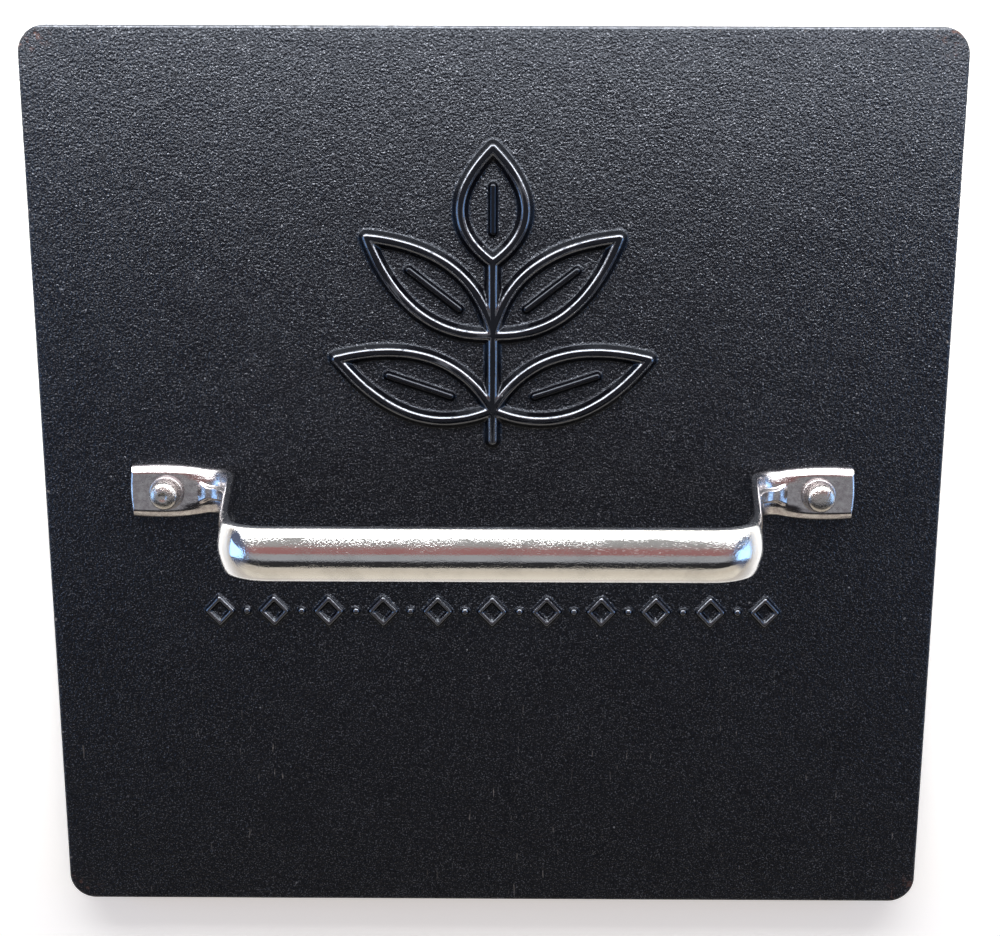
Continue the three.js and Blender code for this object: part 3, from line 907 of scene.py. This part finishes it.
def enamelled_iron():
    """Black enamel: pebbled over the sand-cast ground, smooth and glossy on the raised lines,
    dusty, and rusty where it has chipped at the corners."""
    material = bpy.data.materials.new("enamelled_iron")
    n = Nodes(material)
    x, y, z = n.axes(n.place())
    reach_x, reach_y = n.math("ABSOLUTE", x), n.math("ABSOLUTE", y)
    ground = n.ramp(z, PLATE_TOP + 0.3, PLATE_TOP + 0.1)

    grains, unused = n.cells(0.8)
    lumps = n.noise(0.5, detail=1.5, roughness=0.6)
    pebbles = n.math("MULTIPLY_ADD", lumps, 2.0, n.product(grains, -0.9))
    tips = n.product(n.ramp(n.noise(0.36, detail=1.0), 0.60, 0.66), ground)
    height = n.total(
        n.product(pebbles, ground, PEBBLE_HEIGHT),
        n.product(n.noise(2.6), SWELL_HEIGHT),
    )

    # Rust and bare iron where the enamel has gone: spots at the corners and chips on the edges.
    edge = n.largest(reach_x, reach_y)
    near_corner = n.ramp(n.math("MINIMUM", reach_x, reach_y), 104, 112)
    corner_spots = n.ramp(n.noise(1.8, detail=4.0, roughness=0.6), 0.54, 0.64)
    rust = n.product(corner_spots, near_corner, n.ramp(edge, 107, 113))
    on_edge = n.ramp(edge, 112.7, 113.6)
    chips = n.product(n.ramp(n.noise(2.1, detail=3.0), 0.66, 0.70), on_edge)

    # Thin upright drag marks in the lower half, and specks of dust everywhere.
    drag = n.ramp(n.noise(0.8, detail=1.0, place=n.place((1, 0.14, 1))), 0.70, 0.76)
    drag_zone = n.ramp(n.noise(26, detail=1.0), 0.48, 0.6)
    drags = n.product(drag, drag_zone, n.ramp(y, -40, -75))
    speck_distance, speck_colour = n.cells(4.2)
    speck_chance, speck_size, unused = n.axes(speck_colour)
    speck = n.product(
        n.math("LESS_THAN", speck_distance, n.product(speck_size, 0.07)),
        n.math("GREATER_THAN", speck_chance, 0.4),
    )

    # The enamel is rubbed through along the crests' edges, along the plate's +Y edge and, less, on
    # the highest grains.
    sprig_edge = n.product(
        n.ramp(z, PLATE_TOP + 1.5, PLATE_TOP + 1.65),
        n.ramp(z, PLATE_TOP + 1.96, PLATE_TOP + 1.88),
    )
    band_edge = n.product(n.ramp(z, PLATE_TOP + 0.8, PLATE_TOP + 0.9), n.ramp(y, -20, -25))
    far_edge = n.product(
        n.ramp(y, PLATE_HALF - 0.8, PLATE_HALF - 0.6),
        n.ramp(z, PLATE_TOP - 0.8, PLATE_TOP - 0.5),
    )
    rubbed = n.largest(sprig_edge, band_edge, far_edge, n.product(tips, TIP_WEAR))
    rubbed = n.product(rubbed, n.ramp(n.noise(1.2), 0.25, 0.45, 0.4, 1.0))

    colour = n.mix(n.noise(14, detail=3.0), ENAMEL_DEEP, ENAMEL_FADED)
    colour = n.mix(n.product(drags, 0.35), colour, DRAG_COLOUR)
    colour = n.mix(n.product(speck, 0.35), colour, DUST_COLOUR)
    colour = n.mix(n.product(rust, 0.6), colour, RUST_COLOUR)
    colour = n.mix(chips, colour, CHIP_COLOUR)
    colour = n.mix(rubbed, colour, BARE_IRON)
    worn = n.largest(rust, chips, drags)
    gloss = n.ramp(n.noise(9, detail=3.0), 0.3, 0.7, 0.17, 0.23)
    matt = n.ramp(n.noise(11, detail=4.0), 0.3, 0.7, 0.29, 0.35)
    roughness = n.math("MULTIPLY_ADD", n.math("SUBTRACT", matt, gloss), ground, gloss)
    roughness = n.math("ADD", roughness, n.product(worn, 0.25), clamp=True)
    n.finish(
        Base_Color=colour,
        Metallic=rubbed,
        Roughness=roughness,
        IOR=1.45,
        Specular_Tint=(0.82, 0.88, 1.0, 1),
        Normal=n.bump(n.math("SUBTRACT", height, n.product(worn, WEAR_DEPTH))),
    )
    return material


# Two sorts of plating. The roughness is that of clean metal, and the depths are in millimetres.
CHROME = {"colour": (0.83, 0.82, 0.80, 1), "roughness": 0.04,
          "scratch_depth": 0.003, "ripple_depth": 0.012, "pit_depth": 0.014}
STEEL = {"colour": (0.62, 0.59, 0.56, 1), "roughness": 0.19,
         "scratch_depth": 0.006, "ripple_depth": 0.06, "pit_depth": 0.035}
# The colour that the plating darkens towards close to the plate.
NEAR_PLATE_DARK_COLOUR = (0.44, 0.40, 0.41, 1)
SCRATCH_SETS = ((0.2, 0.10), (1.1, 0.08), (-0.7, 0.09))  # (turn, width)


def polished_metal(name, colour, roughness, scratch_depth, ripple_depth, pit_depth):
    """Bright plating with rub marks, fine scratches in several directions, clusters of tiny pits
    and dull smudges, and darker and rougher close to the plate."""
    material = bpy.data.materials.new(name)
    n = Nodes(material)
    unused, y, z = n.axes(n.place())
    scratches = 0.0
    for turn, width in SCRATCH_SETS:
        lines = n.noise(width, detail=1.0, place=n.place((0.05, 1, 1), turn))
        zone = n.ramp(n.noise(6, place=n.place((0.6, 1, 1), turn)), 0.48, 0.62)
        scratches = n.largest(scratches, n.product(n.ramp(lines, 0.66, 0.72), zone))
    rub = n.ramp(n.noise(0.35, place=n.place((0.2, 1, 1))), 0.5, 0.75)
    smudge = n.ramp(n.noise(8, detail=4.0, roughness=0.6), 0.42, 0.72)
    pits = n.product(
        n.ramp(n.noise(0.4, roughness=0.6), 0.42, 0.66),
        n.ramp(n.noise(7, place=n.place((0.5, 1, 1))), 0.30, 0.55),
        n.ramp(y, -3, 1, 0.45, 1.0),
    )
    # Darker colour and more roughness within 5 mm of the foot's top, mottled by noise.
    near_plate_dark = n.product(
        n.ramp(z, FOOT_TOP + 5, FOOT_TOP + 0.5),
        n.ramp(n.noise(1.6, detail=4.0, roughness=0.65), 0.3, 0.7, 0.45, 1.0),
    )
    roughness = n.total(
        n.product(near_plate_dark, 0.13),
        n.product(smudge, 0.09),
        n.product(rub, 0.06),
        n.product(scratches, 0.30),
        roughness,
    )
    height = n.total(
        n.product(n.noise(2.6, detail=1.0), ripple_depth),
        n.product(scratches, -scratch_depth),
        n.product(pits, -pit_depth),
    )
    dulled = tuple(c * 0.72 for c in colour[:3]) + (1,)
    colour = n.mix(n.product(smudge, 0.5), colour, dulled)
    n.finish(
        Base_Color=n.mix(near_plate_dark, colour, NEAR_PLATE_DARK_COLOUR),
        Metallic=1.0,
        Roughness=roughness,
        Normal=n.bump(height),
    )
    return material


def paper_floor():
    """A pale, matt studio floor with the mottle of card. It glows faintly, painted light that lifts
    its shadows, and it is a little darker away from the press, painted shade."""
    material = bpy.data.materials.new("studio_floor")
    n = Nodes(material)
    x, y, unused = n.axes(n.place())
    away = n.largest(n.math("ABSOLUTE", x), y)
    pale = n.mix(n.noise(40, detail=3.0), (0.93, 0.91, 0.87, 1), (0.95, 0.935, 0.90, 1))
    n.finish(
        # Painted shade: the floor's colour darkens from 135 to 210 mm away from the press.
        Base_Color=n.mix(n.ramp(away, 135, 210), pale, (0.62, 0.59, 0.54, 1)),
        # Painted light: the floor glows faintly warm, which lifts its shadows and whitens it.
        Emission_Color=(1.0, 0.93, 0.82, 1),
        Emission_Strength=0.4,
        Roughness=0.8,
    )
    return material


# ---------------------------------------------------------------- stage

# The camera looks steeply down from a little past the middle, on the +Y side.
CAMERA_AT = (3.4, 92.6, 380.6)  # above the plate's top
CAMERA_AIM = (1.91, 6.0, 0.0)
CAMERA_UP = (-0.0039, 0.975, -0.222)
LENS = 55.3
SENSOR = 36.0
CLIP_START = 0.01  # metres


def above_plate(place):
    """A place given from the middle of the plate's top, in metres from the scene's origin."""
    return Vector((place[0], place[1], place[2] + PLATE_TOP)) * MM


def look_at(obj, target, up):
    """Turn an object so that its -Z axis points at target and its +Y axis is nearest to up."""
    forward = (target - obj.location).normalized()
    right = forward.cross(Vector(up)).normalized()
    turned = Matrix((right, right.cross(forward), -forward)).transposed()
    obj.rotation_euler = turned.to_euler()


def add_camera():
    data = bpy.data.cameras.new("camera")
    data.lens = LENS
    data.sensor_width = SENSOR
    data.sensor_fit = "HORIZONTAL"
    data.clip_start = CLIP_START
    camera = bpy.data.objects.new("camera", data)
    bpy.context.scene.collection.objects.link(camera)
    camera.location = above_plate(CAMERA_AT)
    look_at(camera, above_plate(CAMERA_AIM), CAMERA_UP)
    bpy.context.scene.camera = camera


# Softboxes: (place, size, radiance, colour), with places from the middle of the plate's top.
LIGHT_AIM = (0, 0, 20)
SOFTBOXES = {
    "key": ((0, 200, 130), (600, 120), 7.2, (0.96, 0.98, 1.0)),
    "edge": ((12, 138, 60), (560, 40), 5.0, (0.96, 0.98, 1.0)),
    "side_left": ((-430, -10, 170), (230, 230), 2.6, (0.32, 0.58, 1.0)),
    "side_right": ((430, -10, 170), (230, 230), 2.6, (0.32, 0.58, 1.0)),
}


def add_softbox(name, place, size, radiance, colour):
    """A rectangular light of a given brightness, which the camera doesn't see directly."""
    data = bpy.data.lights.new(name, "AREA")
    data.shape = "RECTANGLE"
    data.size, data.size_y = (s * MM for s in size)
    data.energy = radiance * math.pi * data.size * data.size_y
    data.color = colour
    light = bpy.data.objects.new(name, data)
    light.visible_camera = False
    bpy.context.scene.collection.objects.link(light)
    light.location = above_plate(place)
    look_at(light, above_plate(LIGHT_AIM), (0, 0, 1))


def add_floor():
    half = FLOOR_SIZE / 2
    corners = [(-half, -half, 0), (half, -half, 0), (half, half, 0), (-half, half, 0)]
    floor = make_object("studio_floor", corners, [(0, 1, 2, 3)], paper_floor())


def add_world():
    """A soft room: pale walls and a greyer ceiling, in bands that run along X, and dim blue walls
    at the two ends."""
    world = bpy.data.worlds.new("studio")
    bpy.context.scene.world = world
    n = Nodes(world)
    coordinates = n.node("ShaderNodeTexCoord")
    aside, toward_y, up = n.axes(coordinates.outputs["Generated"])
    at_ends = n.ramp(n.math("ABSOLUTE", aside), 0.62, 0.85)
    tilt = n.math("ARCTAN2", toward_y, up)  # 0 at the zenith, positive towards +Y
    bands = n.node("ShaderNodeValToRGB")
    n.feed(bands.inputs[0], n.math("MULTIPLY_ADD", tilt, 1 / math.pi, 0.5))
    ramp = bands.color_ramp
    for degrees, colour in ROOM_BANDS[1:-1]:
        ramp.elements.new(degrees / 180 + 0.5).color = (*colour, 1)
    ramp.elements[0].color = (*ROOM_BANDS[0][1], 1)
    ramp.elements[len(ROOM_BANDS) - 1].color = (*ROOM_BANDS[-1][1], 1)
    background = n.node("ShaderNodeBackground")
    n.feed(background.inputs["Color"], n.mix(at_ends, bands.outputs[0], ROOM_ENDS))
    output = n.node("ShaderNodeOutputWorld")
    n.feed(output.inputs["Surface"], background.outputs[0])


# ---------------------------------------------------------------- the press

def build():
    iron = enamelled_iron()
    chrome = polished_metal("chromed_sheet", **CHROME)
    steel = polished_metal("fastener_steel", **STEEL)
    stand_for(press_plate(iron), "press_plate")
    stand_for(handle(chrome), "handle")
    for side_name, side in (("left", -1), ("right", 1)):
        collar = turned(f"collar_{side_name}", washer_profile(), side * RIVET_X, steel)
        stand_for(collar, f"washer_{side_name}")
        head = turned(f"round_rivet_{side_name}", rivet_profile(side < 0), side * RIVET_X, steel)
        stand_for(head, f"rivet_{side_name}")


add_camera()
add_world()
for softbox, settings in SOFTBOXES.items():
    add_softbox(softbox, *settings)
add_floor()
build()
bpy.context.scene.view_settings.view_transform = "Standard"
